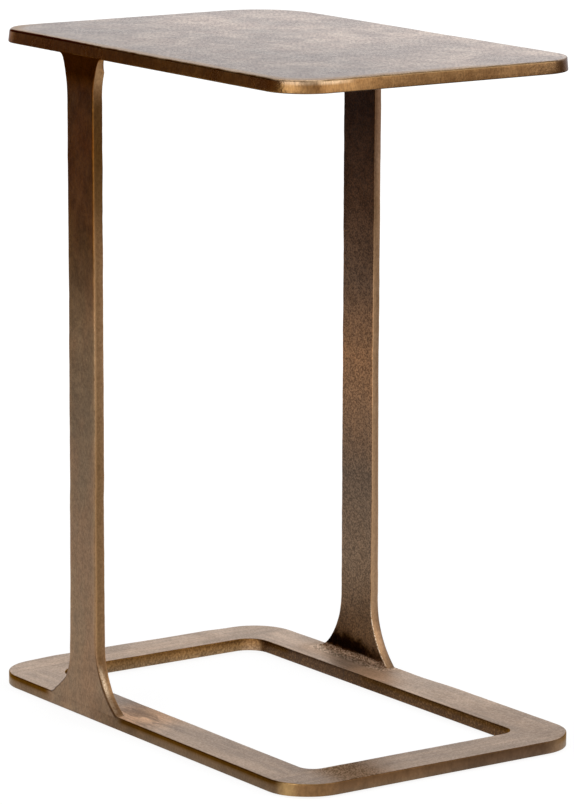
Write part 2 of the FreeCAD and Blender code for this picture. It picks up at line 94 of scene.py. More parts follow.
class Field:
    """A number, colour or vector that varies over a surface."""

    def __init__(self, node, output=0):
        self.socket = node.outputs[output]

    def new(self, kind, output, inputs=None, **settings):
        """The field that a new node in the same tree gives."""
        return Field(add(self.socket.id_data, kind, inputs, **settings), output)

    __add__ = joining("ADD")
    __sub__ = joining("SUBTRACT")
    __rsub__ = joining("SUBTRACT", swapped=True)
    __mul__ = joining("MULTIPLY")
    __truediv__ = joining("DIVIDE")
    __abs__ = joining("ABSOLUTE")
    at_least = joining("MAXIMUM")
    root = joining("SQRT")

    def step(self, low, high, out_low=0, out_high=1):
        """A smooth change from out_low to out_high as this goes from low to high."""
        inputs = {"Value": self, "From Min": low, "From Max": high, "To Min": out_low, "To Max": out_high}
        return self.new("ShaderNodeMapRange", "Result", inputs, interpolation_type="SMOOTHSTEP")

    def band(self, low, start, stop, high):
        """1 from start to stop, fading to 0 at low and at high."""
        return self.step(low, start) * self.step(high, stop)

    def ramp(self, stops):
        """A colour that runs through stops of (value, colour) as this rises."""
        low, high = stops[0][0], stops[-1][0]
        share = self.new("ShaderNodeMapRange", "Result", {"Value": self, "From Min": low, "From Max": high})
        colour = self.new("ShaderNodeValToRGB", "Color", {"Fac": share})
        elements = colour.socket.node.color_ramp.elements
        while len(elements) < len(stops):
            elements.new(1)
        for element, (place, tone) in zip(elements, stops):
            element.position = (place - low) / (high - low)
            element.color = (*tone, 1)
        return colour

    def mix(self, first, second):
        """The first colour where this is 0, the second where it is 1."""
        return self.new("ShaderNodeMix", 2, {0: self, 6: first, 7: second}, data_type="RGBA")

    def times(self, tint):
        """This colour times another."""
        inputs = {0: 1, 6: self, 7: tint}
        return self.new("ShaderNodeMix", 2, inputs, data_type="RGBA", blend_type="MULTIPLY")

    def shade(self, colour, dark, light, low=0.36, high=0.64):
        """The colour times a tint that goes from dark to light as this goes from low to high."""
        return self.step(low, high).mix(dark, light).times(colour)

    def fade(self, colour, tint, low=0, high=1):
        """The colour as it is where this is low, times the tint where it is high."""
        return self.shade(colour, WHITE, tint, low, high)

    def stretched(self, scale, offset=(0, 0, 0)):
        """The place, scaled along each axis."""
        return self.new("ShaderNodeMapping", 0, {"Vector": self, "Scale": scale, "Location": offset})

    def turned(self, angle):
        """The place, turned about the upright axis."""
        return self.new("ShaderNodeMapping", 0, {"Vector": self, "Rotation": (0, 0, angle)})

    def noise(self, scale=1, detail=3, rough=0.6, warp=0):
        """Smooth noise over the place, with so many spots per metre."""
        inputs = {"Vector": self, "Scale": scale, "Detail": detail, "Roughness": rough, "Distortion": warp}
        return self.new("ShaderNodeTexNoise", "Fac", inputs)

    def bump(self, strength, depth):
        """The normal of a surface that this makes uneven."""
        inputs = {"Strength": strength, "Distance": depth, "Height": self}
        return self.new("ShaderNodeBump", "Normal", inputs)

    def attribute(self, name):
        """The number that write_attribute left on the mesh under a name."""
        return self.new("ShaderNodeAttribute", "Fac", attribute_name=name)

    def axes(self):
        node = add(self.socket.id_data, "ShaderNodeSeparateXYZ", {"Vector": self})
        return Field(node, "X"), Field(node, "Y"), Field(node, "Z")


def clean_tree(owner):
    """The empty node tree of a material or world."""
    owner.use_nodes = True
    owner.node_tree.nodes.clear()
    return owner.node_tree


def new_material(name):
    """A new material, its shader, and the place and the normal on the object."""
    material = bpy.data.materials.new(name)
    tree = clean_tree(material)
    shader = add(tree, "ShaderNodeBsdfPrincipled")
    add(tree, "ShaderNodeOutputMaterial", {"Surface": Field(shader)})
    coordinates = add(tree, "ShaderNodeTexCoord")
    return material, shader, Field(coordinates, "Object"), Field(coordinates, "Normal")


def set_metal(shader, colour, tint, roughness, normal):
    feed(shader, {"Base Color": colour, "Specular Tint": tint, "Metallic": 1, "Roughness": roughness,
                  "Normal": normal})


# the top's material

HALF_DEPTH = 0.155
BRUSH_TURN = radians(-145)
NEAR_RIM = ((-0.23, (0.3, 0.115, 0.011)), (0.05, (0.34, 0.17, 0.024)), (0.14, (0.41, 0.22, 0.05)),
            (0.2, (0.47, 0.26, 0.08)))
# end rim colour across the table; its paler stretch by the near corner is painted highlight
END_RIM = ((-0.125, (0.38, 0.215, 0.092)), (-0.09, (0.31, 0.178, 0.079)), (-0.04, (0.17, 0.096, 0.043)),
           (0.03, (0.162, 0.091, 0.041)), (0.075, (0.202, 0.116, 0.055)), (0.12, (0.18, 0.107, 0.054)))
# corner rim colour by height, paling to a painted highlight near the top
CORNER_RIM_HIGHLIGHT = ((0.6025, (0.34, 0.2, 0.085)), (0.605, (0.37, 0.228, 0.108)), (0.6072, (0.44, 0.32, 0.215)))
TOP_BROWN = (0.33, 0.274, 0.246)
TOP_SAND = (0.46, 0.384, 0.34)
TOP_BORDER = (0.36, 0.235, 0.14)
# painted highlight: cream on the upper end rim by the near corner
CREAM_HIGHLIGHT = (0.6, 0.45, 0.31)
GOLD_LINE = (0.26, 0.165, 0.082)
# painted shade: colour of the dark band on the top's near upper round
EDGE_SHADE_COLOUR = (0.06, 0.026, 0.006)


def brushed(place, scale, detail, rough):
    """Noise drawn out along the strokes of the brush."""
    return place.turned(BRUSH_TURN).stretched(scale).noise(1, detail, rough)


def top_face_colour(px, py, border, clouds, patches, spots):
    """Upper face of the top: clouded, brushed, paler towards the back, browner at the border."""
    face = clouds.step(0.34, 0.66).mix(TOP_BROWN, TOP_SAND)
    face = patches.shade(face, (0.93, 0.91, 0.92), (1.07, 1.06, 1.04))
    face = spots.shade(face, (1.16, 1.14, 1.12), (0.78, 0.77, 0.78), 0.36, 0.66)
    face = (py - px * 0.15).shade(face, (0.8, 0.78, 0.77), (1.36, 1.35, 1.33), -0.17, 0.15)
    return border.step(0.1, 0.9, 0, 0.55).mix(face, TOP_BORDER)


def top_rim_colour(place, nx, ny, nz, px, py, pz):
    """Rims of the top: orange brown on the near side, dark at the end, golden at the corners, with painted
    shade on the rounds and a painted cream highlight by the near corner.
    """
    # painted shade: the near rim's rounds are darkened where they tilt up or down
    near = abs(nz).fade(px.ramp(NEAR_RIM), (0.42, 0.38, 0.32), 0.1, 0.5)
    # painted highlight up the corners; painted shade dims the corners where nx and ny share a sign
    corner = (nx * ny).fade(pz.ramp(CORNER_RIM_HIGHLIGHT), (0.6, 0.6, 0.68), 0.05, 0.22)
    # painted highlight: cream high on the end rim next to the near corner
    cream_highlight = pz.step(0.6045, 0.6075) * py.step(-0.085, -0.115)
    end = cream_highlight.mix(py.ramp(END_RIM), CREAM_HIGHLIGHT)
    rim = abs(nx).step(0.55, 0.97).mix(corner, end)
    rim = abs(ny).step(0.84, 0.995).mix(rim, near)
    # painted shade: rounds that face downwards are darkened
    rim = nz.fade(rim, (0.16, 0.15, 0.15), -0.15, -0.6)
    mottles = place.stretched((700, 700, 200)).noise()
    blotches = place.noise(70, 2, 0.5)
    rim = mottles.shade(rim, (1.2, 1.18, 1.14), (0.84, 0.82, 0.8), 0.32, 0.68)
    return blotches.shade(rim, (1.12, 1.12, 1.08), (0.86, 0.82, 0.76))


def top_tint(nx, ny, nz, side, border, clouds, patches, spots):
    """Tint of the top's gloss, dimmed with painted shade below the rim and on the corner."""
    tint = patches.step(0.36, 0.64).mix((0.93, 0.92, 0.92), WHITE)
    tint = clouds.shade(tint, (0.9, 0.89, 0.89), WHITE, 0.34, 0.66)
    tint = spots.fade(tint, (0.88, 0.88, 0.89), 0.36, 0.66)
    tint = border.step(0.1, 0.9, 0, 0.8).mix(tint, (0.86, 0.74, 0.62))
    # painted shade: the gloss is dimmed on downward rounds and on the corners where nx and ny share a sign
    rim_tint = nz.step(-0.15, -0.6).mix(WHITE, (0.15, 0.12, 0.1))
    rim_tint = (nx * ny).fade(rim_tint, (0.62, 0.6, 0.64), 0.05, 0.22)
    return side.mix(tint, rim_tint)


def top_material():
    """Finely brushed casting under an antique brass patina."""
    material, shader, place, normal = new_material("brushed_top_casting")
    nx, ny, nz = normal.axes()
    px, py, pz = place.axes()
    backward = nz.step(0.15, 0.45) * (ny - nx).step(0.1, 0.3)
    side = abs(nz).step(0.985, 0.8) * (1 - backward)
    clouds = place.noise(15, 2, 0.5, 0.3)
    patches = place.noise(46, 2, 0.5)
    spots = brushed(place, (120, 380, 400), 3, 0.65)
    streaks = place.stretched((60, 500, 500)).noise()
    border = place.attribute("border") * (px * 0.35 - py).step(-0.02, 0.06)
    face = top_face_colour(px, py, border, clouds, patches, spots)
    rim = top_rim_colour(place, nx, ny, nz, px, py, pz)
    upward = nz.step(0.2, 0.5)
    waver = (patches - 0.5) * 0.003
    # painted shade: a dark band on the near upper round, wider to the left, which also dims the gloss there
    from_edge = py + HALF_DEPTH + waver - px.step(-0.19, -0.05, 0.0052, 0.0024)
    edge_shade = from_edge.step(0.001, -0.001) * upward
    gold_line = (px + waver).step(0.2325, 0.234) * upward
    skin = gold_line.mix(side.mix(face, rim), GOLD_LINE)
    skin = edge_shade.mix(skin, EDGE_SHADE_COLOUR)
    tint = top_tint(nx, ny, nz, side, border, clouds, patches, spots)
    tint = gold_line.mix(tint, (0.62, 0.44, 0.26))
    tint = edge_shade.mix(tint, (0.36, 0.23, 0.1))
    relief = (spots * 0.6 + streaks * 0.4).bump(0.5, 0.0008)
    set_metal(shader, skin, tint, clouds.step(0.3, 0.7, 0.26, 0.33), relief)
    return material


# the base's material, and the patina that it shares with the legs, painted shade under the top included

FEET_X = 0.088
REAR_SPECKLE_X = 0.086
# patina by height; the darkening from about 0.4 m up is painted shade under the top
OUTER_PATINA_AND_SHADE = ((0.02, (0.26, 0.162, 0.091)), (0.11, (0.265, 0.165, 0.093)), (0.28, (0.3, 0.2, 0.118)),
                (0.35, (0.385, 0.25, 0.137)), (0.43, (0.245, 0.12, 0.036)), (0.52, (0.23, 0.082, 0.011)),
                (0.558, (0.22, 0.092, 0.018)), (0.574, (0.19, 0.066, 0.011)), (0.583, (0.096, 0.026, 0.004)))
# rim colour by height; the dark band under the upper rim is a painted dark reflection
LONG_BAR_RIM = ((0.0025, (0.185, 0.122, 0.072)), (0.0068, (0.19, 0.116, 0.06)),
                (0.009, (0.15, 0.082, 0.032)), (0.0101, (0.1, 0.043, 0.009)), (0.013, (0.108, 0.046, 0.01)))
END_BAR_RIM = ((0.0025, (0.165, 0.11, 0.072)), (0.007, (0.16, 0.094, 0.054)), (0.0115, (0.125, 0.07, 0.037)))
OPENING_GOLD = ((0.003, (0.26, 0.17, 0.095)), (0.0075, (0.27, 0.155, 0.066)), (0.011, (0.2, 0.104, 0.036)))
# painted shade: the rims' gloss is dimmed in the upper band
RIM_SHINE = ((0.007, (0.95, 0.9, 0.84)), (0.01, (0.72, 0.56, 0.38)))
BASE_BACK = (0.48, 0.355, 0.262)
BASE_FRONT = (0.385, 0.275, 0.195)
PIT_PALE = (0.48, 0.35, 0.26)
PIT_DARK = (0.08, 0.046, 0.028)
SPECKLE_PALE = (0.8, 0.61, 0.46)
SPECKLE_DARK = (0.29, 0.195, 0.122)
# corner colours for the painted highlight on the base's outer corners
NEAR_GOLD = (0.42, 0.27, 0.118)
FAR_GOLD = (0.235, 0.15, 0.088)
LEFT_GOLD = (0.38, 0.27, 0.155)
WALL_DARK = (0.076, 0.036, 0.013)
WALL_BROWN = (0.2, 0.106, 0.043)


def outer_colour(place, px, pz):
    """Clouded patina of a leg's outer face with painted shade up under the top, its clouds and its grain."""
    clouds = place.stretched((1, 1, 0.6)).noise(60, 4, 0.6, 0.6)
    hues = place.stretched((1, 1, 0.5), (0.3, 0.2, 0.1)).noise(38, 3, 0.5)
    grain = place.stretched((1, 1, 0.7)).noise(520, 3, 0.65)
    outside = pz.ramp(OUTER_PATINA_AND_SHADE)
    outside = clouds.shade(outside, (0.9, 0.9, 0.9), (1.1, 1.09, 1.08), 0.34, 0.66)
    outside = hues.shade(outside, (0.97, 1.01, 1.02), (1.03, 0.99, 0.97), 0.38, 0.62)
    toe = pz.step(0.034, 0.014) * px.step(-0.09, -0.062)
    outside = toe.fade(outside, (0.8, 0.77, 0.73))
    outside = grain.shade(outside, (1.17, 1.16, 1.15), (0.82, 0.8, 0.78), 0.34, 0.66)
    return outside, clouds, grain


def foot_share(px):
    """1 on the base's rim where a leg's foot joins it, 0 elsewhere."""
    return abs(px + FEET_X).step(0.066, 0.052)


def sooty_share(px, py):
    """Where the open end's bar is sooty and pitted."""
    return px.step(0.196, 0.208) * py.band(-0.124, -0.092, -0.08, -0.04)


def before_toe(px, py):
    """Where the far bar in front of the rear foot's toe is painted lighter and made rougher."""
    return px.band(-0.085, -0.03, -0.025, 0.04) * py.step(0.146, 0.12)


def ground_face(place, px, py, clouds, grain):
    """Ground metal, streaked along each bar, paler at the back, with a painted shadow by the near foot."""
    lengthwise = place.stretched((9, 120, 120)).noise(1, 4, 0.6)
    crosswise = place.stretched((120, 9, 120)).noise(1, 4, 0.6)
    end_bar = abs(px).step(0.196, 0.215)
    streaks = lengthwise * (1 - end_bar) + crosswise * end_bar
    face = (px - py * 0.9).step(-0.06, 0.04).mix(BASE_BACK, BASE_FRONT)
    face = streaks.shade(face, (0.84, 0.82, 0.8), (1.14, 1.13, 1.12))
    face = clouds.shade(face, (0.9, 0.88, 0.86), (1.08, 1.07, 1.06), 0.38, 0.62)
    face = grain.shade(face, (1.08, 1.07, 1.06), (0.84, 0.82, 0.8), 0.34, 0.64)
    by_opening = py.band(-0.128, -0.114, -0.108, -0.09) * px.band(0.09, 0.15, 0.198, 0.212)
    face = by_opening.fade(face, (0.7, 0.67, 0.64))
    # painted shadow of the near foot on the near bar
    near_foot_shadow = px.band(-0.15, -0.115, -0.058, -0.025) * py.step(-0.095, -0.114)
    return near_foot_shadow.fade(face, (0.77, 0.75, 0.74))


def base_face_colour(place, px, py):
    """Upper face of the base: smears, a pitted open end, speckle by the rear foot."""
    clouds = place.noise(32, 3, 0.55, 0.5)
    grain = place.noise(480, 3, 0.65)
    face = ground_face(place, px, py, clouds, grain)
    beside = py.step(-0.118, -0.128) * px.band(-0.075, -0.045, -0.01, 0.05)
    smears = place.stretched((34, 95, 60), (0.4, 0.1, 0)).noise(1, 3, 0.6, 0.8)
    face = beside.mix(face, smears.shade(face, (0.76, 0.74, 0.72), (1.46, 1.46, 1.46), 0.4, 0.6))
    dark = sooty_share(px, py) * clouds.step(0.3, 0.55, 0.35, 1)
    pitted = brushed(place, (270, 680, 600), 2, 0.65)
    face = (dark * 0.75).mix(face, pitted.step(0.42, 0.58).mix(PIT_PALE, PIT_DARK))
    coarse = brushed(place, (150, 420, 400), 2, 0.6)
    speckle = coarse.step(0.42, 0.58).mix(SPECKLE_PALE, SPECKLE_DARK)
    back_foot = abs(px + REAR_SPECKLE_X).step(0.07, 0.05) * py.step(0.128, 0.138)
    face = (back_foot + (clouds - 0.5)).step(0.35, 0.8, 0, 0.75).mix(face, speckle)
    # painted light: the far bar is lightened in front of the rear foot's toe
    return before_toe(px, py).fade(face, (1.34, 1.26, 1.16)), grain


def painted_corner_highlight(nx, px, py, pz):
    """Gold painted on the base's outer corners as a highlight: near, far and on the left."""
    gold = nx.fade(NEAR_GOLD, (0.58, 0.5, 0.5), 0.5, 0.74)
    gold = py.step(0, 0.05).mix(gold, FAR_GOLD)
    return px.step(0.05, -0.05).mix(gold, pz.fade(LEFT_GOLD, (0.62, 0.54, 0.5), 0.0082, 0.0102))


def opening_walls(place, nx, ny, py, pz):
    """Walls of the opening: brown along the table, golden across it and in the corners, with a painted
    highlight in the corners.
    """
    specks = place.noise(520, 3, 0.65)
    golden = specks.shade(pz.ramp(OPENING_GOLD), (1.3, 1.28, 1.2), (0.7, 0.66, 0.6))
    golden = py.shade(golden, (0.78, 0.8, 0.86), WHITE, -0.06, 0.04)
    # painted highlight: brighter where the walls turn round corners with nx and ny of opposite sign
    golden = (nx * ny).fade(golden, (1.45, 1.5, 1.75), -0.1, -0.48)
    brown = specks.step(0.48, 0.7).mix(WALL_DARK, WALL_BROWN)
    return abs(nx).step(0.2, 0.55).mix(brown, golden)


def base_rim_colour(place, nx, ny, px, py, pz):
    """Edges of the base: a painted dark reflection under the upper rim, paler below, a painted gold
    highlight at the corners.
    """
    wedge = px.step(-0.235, -0.19) * px.step(0.05, -0.1, 0, 0.001)
    lengthwise = px.fade((pz + wedge).ramp(LONG_BAR_RIM), (0.8, 0.79, 0.8), -0.1, 0.15)
    crosswise = py.shade(pz.ramp(END_BAR_RIM), (1.13, 1.09, 0.98), (0.74, 0.73, 0.74), -0.06, 0.06)
    rim = abs(nx).step(0.55, 0.85).mix(lengthwise, crosswise)
    corner = abs(px).step(0.212, 0.224) * abs(py).step(0.106, 0.13)
    # painted highlight on the base's outer corners
    rim = (corner * 0.9).mix(rim, painted_corner_highlight(nx, px, py, pz))
    within = abs(px).step(0.205, 0.2045) * abs(py).step(0.1134, 0.1128)
    rim = within.mix(rim, opening_walls(place, nx, ny, py, pz))
    mottles = place.stretched((380, 380, 240)).noise()
    patches = place.noise(45, 3, 0.55)
    rim = mottles.shade(rim, (1.1, 1.09, 1.08), (0.9, 0.89, 0.88), 0.32, 0.68)
    rim = patches.shade(rim, (1.1, 1.08, 1.05), (0.88, 0.86, 0.84))
    outside = outer_colour(place, px, pz)[0]
    outside = pz.fade(outside, (0.8, 0.8, 0.82), 0.0045, 0.001)
    return (foot_share(px) * abs(py).step(0.15, 0.153)).mix(rim, outside)


def base_material():
    """Ground casting with a streaky brown patina."""
    material, shader, place, normal = new_material("base_casting")
    nx, ny, nz = normal.axes()
    px, py, pz = place.axes()
    face, grain = base_face_colour(place, px, py)
    rim = base_rim_colour(place, nx, ny, px, py, pz)
    side = abs(nz).step(0.985, 0.93)
    flat = sooty_share(px, py).mix(WHITE, (0.72, 0.58, 0.46))
    # painted shade: the gloss on the rims is dimmed in the upper band, but not at the feet
    shine = foot_share(px).mix(pz.ramp(RIM_SHINE), WHITE)
    back_foot = abs(px + REAR_SPECKLE_X).step(0.08, 0.05) * py.step(0.108, 0.135, 0, 0.2)
    roughness = grain.step(0.3, 0.7, 0.32, 0.42) + (back_foot + before_toe(px, py) * 0.22)
    set_metal(shader, side.mix(face, rim), side.mix(flat, shine), roughness, grain.bump(0.35, 0.0007))
    return material


# the legs' material: patinas and painted shade under the top by height, shades by depth behind the outer
# face

# patina by height; the darkening from about 0.3 m up is painted shade under the top
INNER_PATINA_AND_SHADE = ((0.035, (0.158, 0.087, 0.04)), (0.1, (0.2, 0.13, 0.08)), (0.19, (0.16, 0.106, 0.069)),
                (0.3, (0.4, 0.215, 0.105)), (0.37, (0.228, 0.14, 0.085)), (0.445, (0.145, 0.072, 0.034)),
                (0.53, (0.053, 0.019, 0.005)))
# narrow sides' colour by height; the darker stretch high up is painted shade under the top
FRONT_NARROW = ((0.02, (0.27, 0.163, 0.082)), (0.24, (0.258, 0.155, 0.078)), (0.335, (0.34, 0.215, 0.12)),
                (0.425, (0.29, 0.172, 0.085)), (0.47, (0.17, 0.092, 0.036)), (0.515, (0.122, 0.06, 0.018)),
                (0.555, (0.125, 0.063, 0.022)), (0.578, (0.32, 0.184, 0.087)))
REAR_NARROW = ((0.02, (0.3, 0.186, 0.106)), (0.07, (0.36, 0.226, 0.13)), (0.4, (0.36, 0.232, 0.138)),
               (0.445, (0.33, 0.215, 0.13)), (0.49, (0.31, 0.205, 0.135)), (0.53, (0.28, 0.175, 0.11)))
FRONT_LOW_SHADE = ((0.0012, WHITE), (0.0035, (0.88, 0.84, 0.76)), (0.008, (1.06, 1.04, 1.05)))
FRONT_HIGH_SHADE = ((0.0012, WHITE), (0.008, (1.05, 1.04, 1.03)))
REAR_LOW_SHADE = ((0.0012, (0.8, 0.84, 0.92)), (0.0035, (0.86, 0.86, 0.88)), (0.006, (1.12, 1.12, 1.1)))
REAR_HIGH_SHADE = ((0.0012, (1.35, 1.38, 1.45)), (0.0035, (1.2, 1.2, 1.25)), (0.006, (0.85, 0.82, 0.8)),
                   (0.008, (0.5, 0.46, 0.42)))
FRONT_LOOKS = (FRONT_NARROW, FRONT_LOW_SHADE, FRONT_HIGH_SHADE, (0.25, 0.55))
REAR_LOOKS = (REAR_NARROW, REAR_LOW_SHADE, REAR_HIGH_SHADE, (0.38, 0.52))
# painted highlight: lightens the edge lines and the margins of the outer face
EDGE_HIGHLIGHT_TINT = (1.65, 1.6, 1.5)
# painted dark reflection colour for the outer edge round low on the feet
ROUND_REFLECTION_DARK = (0.085, 0.038, 0.014)
DARK_FOOT = (0.014, 0.006, 0.002)
DARK_FOOT_TINT = (0.12, 0.07, 0.04)
# painted highlight colour for the front flare's hollow and the rear foot's inner edge
PAINTED_GLINT = (1, 0.8, 0.58)
# painted shade: dims the gloss up in the head, under the top
HEAD_SHADE_TINT = (0.86, 0.62, 0.42)


def leg_material(name, inward, narrow_patina_and_shade, low_shade, high_shade, glint_break):
    """Bronze patina: soft clouds outside, sand grain inside, painted highlights on the edges, painted shade
    under the top.
    """
    material, shader, place, normal = new_material(name)
    ny = normal.axes()[1]
    px, py, pz = place.axes()
    inner = (ny * inward).step(0.45, 0.85)
    narrow = abs(ny).step(0.8, 0.45)
    outside, clouds, grain = outer_colour(place, px, pz)
    sand = place.noise(680, 2, 0.6)
    inside = clouds.shade(pz.ramp(INNER_PATINA_AND_SHADE), (0.92, 0.92, 0.92), (1.08, 1.07, 1.05))
    inside = sand.shade(inside, (1.48, 1.46, 1.42), (0.54, 0.52, 0.5), 0.34, 0.66)
    depth = HALF_DEPTH - abs(py)
    by_depth = pz.step(0.36, 0.47).mix(depth.ramp(low_shade), depth.ramp(high_shade))
    flank = pz.ramp(narrow_patina_and_shade).times(by_depth)
    flank = grain.shade(flank, (1.14, 1.13, 1.12), (0.84, 0.82, 0.8), 0.32, 0.68)
    colour = narrow.mix(inner.mix(outside, inside), flank)
    # painted highlight along the edges and the outer face's margins, fading out up under the top
    worn = place.attribute("worn") * grain.step(0.3, 0.6, 0.45, 1)
    colour = worn.mix(colour, colour.times(EDGE_HIGHLIGHT_TINT))
    # painted dark reflection in the outer edge round low on the foot
    colour = (place.attribute("groove") * 0.75).mix(colour, ROUND_REFLECTION_DARK)
    drift = (place.noise(170, 3, 0.6) - 0.5) * 0.9
    # the inner face of each foot is darkened to near black just above the base
    darkened_foot = (place.attribute("dark_foot") + drift).step(0.15, 0.95)
    colour = (darkened_foot * 0.95).mix(colour, DARK_FOOT)
    # painted highlight and glints, broken up by the sand grain
    colour = (place.attribute("gleam") * sand.step(*glint_break)).mix(colour, PAINTED_GLINT)
    # painted shade dims the gloss at the head
    tint = darkened_foot.mix(pz.step(0.56, 0.584).mix(WHITE, HEAD_SHADE_TINT), DARK_FOOT_TINT)
    relief = (grain * (1 - inner) + sand * inner).bump(0.22, 0.0007)
    set_metal(shader, colour, tint, clouds.step(0.35, 0.65, 0.32, 0.4), relief)
    return material


# the welds' and the felt's materials

WELD_BLACK = (0.012, 0.005, 0.002)
WELD_BROWN = (0.06, 0.032, 0.014)
WELD_POINTS = (0.4, 0.27, 0.16)
RUBBED_DARK = (0.3, 0.195, 0.12)
RUBBED_PALE = (0.84, 0.63, 0.46)
FELT_DARK = (0.07, 0.058, 0.05)
FELT_PALE = (0.17, 0.145, 0.13)
FELT_ROUGHNESS = 0.95


def weld_material():
    """Very dark rough weld with a few golden points, paler low down at the rear foot."""
    material, shader, place, _ = new_material("weld_metal")
    _, py, pz = place.axes()
    lumps = place.noise(300, 4, 0.7, 0.5)
    points = place.noise(620, 2, 0.6)
    colour = lumps.step(0.4, 0.7).mix(WELD_BLACK, WELD_BROWN)
    colour = points.step(0.62, 0.74).mix(colour, WELD_POINTS)
    rubbed = pz.step(0.019, 0.015) * py.step(-0.05, 0.05)
    colour = (rubbed * 0.85).mix(colour, points.step(0.4, 0.6).mix(RUBBED_DARK, RUBBED_PALE))
    tint = rubbed.mix((0.3, 0.2, 0.12), (0.95, 0.85, 0.74))
    set_metal(shader, colour, tint, lumps.step(0.3, 0.7, 0.45, 0.6), lumps.bump(0.7, 0.002))
    return material


def felt_material():
    """Matt dark felt."""
    material, shader, place, _ = new_material("felt")
    fibres = place.noise(1500, 4, 0.7)
    colour = fibres.step(0.3, 0.7).mix(FELT_DARK, FELT_PALE)
    feed(shader, {"Base Color": colour, "Roughness": FELT_ROUGHNESS, "Normal": fibres.bump(0.6, 0.0005)})
    return material


def dress(node, material):
    """Gives a CAD node its material in every slot."""
    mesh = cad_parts[node].data
    mesh.materials.clear()
    mesh.materials.append(material)


# castings and welds in the place of the plain CAD nodes, sizes here in millimetres

MM = 0.001
LEG_PLACE = -87.8
TABLE_EDGE = 155
LEG_THICKNESS = 8.8
SEAT_FLOOR = 7.3
BASE_FACE = 12.9
TOP_FACE = 598.3
HEAD_END = 603.6
LET_IN_SHRINK = 1.5
BASE_UPPER_ROUND = 1.2
TOP_LOWER_ROUND = 1
SUNK = 0.25
HEAD_SUNK = SUNK + 0.7
OUTER_ROUND = 1.3
INNER_ROUND = 0.9
SHANK_STEPS = 200
FACE_SHARES = (0.02, 0.06, 0.12, 0.2, 0.28, 0.36, 0.44, 0.52, 0.6, 0.68, 0.76, 0.84, 0.9, 0.95, 0.98)
ROUND_STEPS = 4
NARROW_STEPS = 5
FOOT_STEPS = (8, 26)
HEAD_STEPS = (5, 14)

# layers of uneven skin: depth, width of a wave, shift of the seed
LEG_SKIN = ((0.2, 28, 0), (0.1, 9, 5))
INNER_SKIN = LEG_SKIN + ((0.1, 4.5, 9),)
OUTER_SKIN = LEG_SKIN + ((0.04, 4.5, 9),)
PLATE_SKIN = ((0.16, 42, 0), (0.07, 13, 3))
BEAD_LUMPS = ((1, 2.6, 0), (0.5, 1.2, 0))

# by side, -1 the back one and 1 the open one: half width of the outer face, swells by height, reach, height
# and toe radius of the flares, and how much wider the inner face is by height
FRONT_LEG = {
    "side": -1,
    "seed": 3,
    "halves": {-1: 21.9, 1: 19.6},
    "swells": {
        -1: ((0, 0.2), (14, 0.9), (18.4, 4.3), (25, 3.6), (31.6, 0.8), (40, 1), (60, 1.2),
             (75, 0.6), (110, 0.1), (300, 0.2), (400, 0.7), (540, 1.7), (598.3, 0.6)),
        1: ((0, 0.2), (75, 0.3), (110, 0.4), (200, 0), (290, 0.8), (400, -0.1),
            (470, -0.4), (545, -0.9), (580, -0.4), (600, 0)),
    },
    "feet": {-1: (33.5, 45, 2), 1: (35.8, 64, 6)},
    "heads": {-1: (13.7, 45, 6.5), 1: (13.8, 32, 6)},
    "drafts": {
        -1: ((0, 1.1), (600, 1.1)),
        1: ((0, 1.1), (14, 1.3), (28, 1.2), (48, 2.6), (75, 4.4), (110, 3.6), (330, 2.9),
            (400, 3.3), (540, 3.3), (585.5, 2.7), (592.5, -2.2), (598.3, -5.7), (599.9, 1.1)),
    },
}
REAR_LEG = {
    "side": 1,
    "seed": 17,
    "halves": {-1: 22.8, 1: 23.2},
    "swells": {
        -1: ((0, -0.6), (120, -0.5), (300, 0.3), (600, 0.8)),
        1: ((0, 0.8), (50, 1.4), (80, 2.5), (120, 1.7), (250, 0.2), (400, 0), (600, -0.3)),
    },
    "feet": {-1: (38.5, 58, 24), 1: (28.8, 62, 2.4)},
    "heads": {-1: (13, 42, 6.5), 1: (13, 42, 6.5)},
    "drafts": {
        -1: ((0, 0.5), (600, 0.9)),
        1: ((0, 0), (100, -0.6), (170, 1), (600, 1.5)),
    },
}


def wave(x, y, z, cell, seed):
    """Smooth seeded noise from 0 to 1 that changes over about one cell."""
    value = noise.noise(Vector((x / cell + seed, y / cell - seed, z / cell + 0.5 * seed)))
    return min(1, max(0, 0.5 + value))


def skin(x, y, z, seed, layers):
    """The sum of a few layers of waves."""
    return sum(size * wave(x, y, z, cell, seed + shift) for size, cell, shift in layers)


def between(value, low, high):
    """A smooth rise from 0 at low to 1 at high."""
    share = min(1, max(0, (value - low) / (high - low)))
    return share * share * (3 - 2 * share)


def at_height(table, z):
    """The value that a short table of heights and values gives at z."""
    for (z_low, low), (z_high, high) in zip(table, table[1:]):
        if z <= z_high:
            return low + (high - low) * max(0, z - z_low) / (z_high - z_low)
    return table[-1][1]


def quarter(steps):
    """Cosine and sine at even steps of a quarter turn, both ends included."""
    angles = [pi / 2 * step / steps for step in range(steps + 1)]
    return [(cos(angle), sin(angle)) for angle in angles]


def hollow_arc(across, up, radius, start, end, steps):
    """Places on an arc between two angles, with the normals towards its middle."""
    angles = [start + (end - start) * step / steps for step in range(steps + 1)]
    sides = [(cos(angle), sin(angle)) for angle in angles]
    return [(across + radius * x, up + radius * z, -x, -z) for x, z in sides]


def flare_samples(reach, height, toe, toe_steps, big_steps):
    """Spread, distance from the plate and normal along a flare, from its tip to the shank."""
    big = (reach ** 2 + height ** 2 - 2 * height * toe) / (2 * (reach - toe))
    turn = atan2(toe - height, reach - big)
    toe_arc = hollow_arc(reach, toe, toe, -pi / 2, turn, toe_steps)
    return toe_arc[:-1] + hollow_arc(big, height, big, turn, -pi, big_steps)


